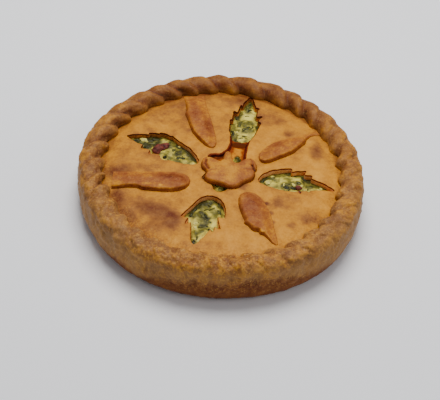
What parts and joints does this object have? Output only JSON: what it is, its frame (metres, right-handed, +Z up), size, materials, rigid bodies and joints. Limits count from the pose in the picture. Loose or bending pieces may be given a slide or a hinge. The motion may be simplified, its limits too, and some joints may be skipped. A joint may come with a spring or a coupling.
{
  "type": "savoury pie",
  "caption": "Round savoury pie with a rope-crimped rim. The lid has leaf-shaped windows onto a creamed filling, laid pastry leaves and a pastry star.",
  "frame": {"origin": "middle of the flat underside, in the centre of the pie's box in plan", "axes": "+Z up through the lid, -Y the front, +X the right-hand side seen from the front"},
  "size_m": [0.2276, 0.2292, 0.0376],
  "materials": {
    "baked_pastry": "golden baked pastry with an egg-washed, slightly satin surface, browned in patches",
    "browned_pastry": "the same pastry, browned more deeply on the raised pieces",
    "creamed_filling": "moist pale yellow-green cream with dark spinach and pieces of chicken"
  },
  "bodies": {
    "root": {"pastry_crust": "baked_pastry", "filling": "creamed_filling", "pastry_leaf_1": "browned_pastry", "pastry_leaf_2": "browned_pastry", "pastry_leaf_3": "browned_pastry", "pastry_leaf_4": "browned_pastry", "pastry_star": "browned_pastry"}
  },
  "joints": []
}
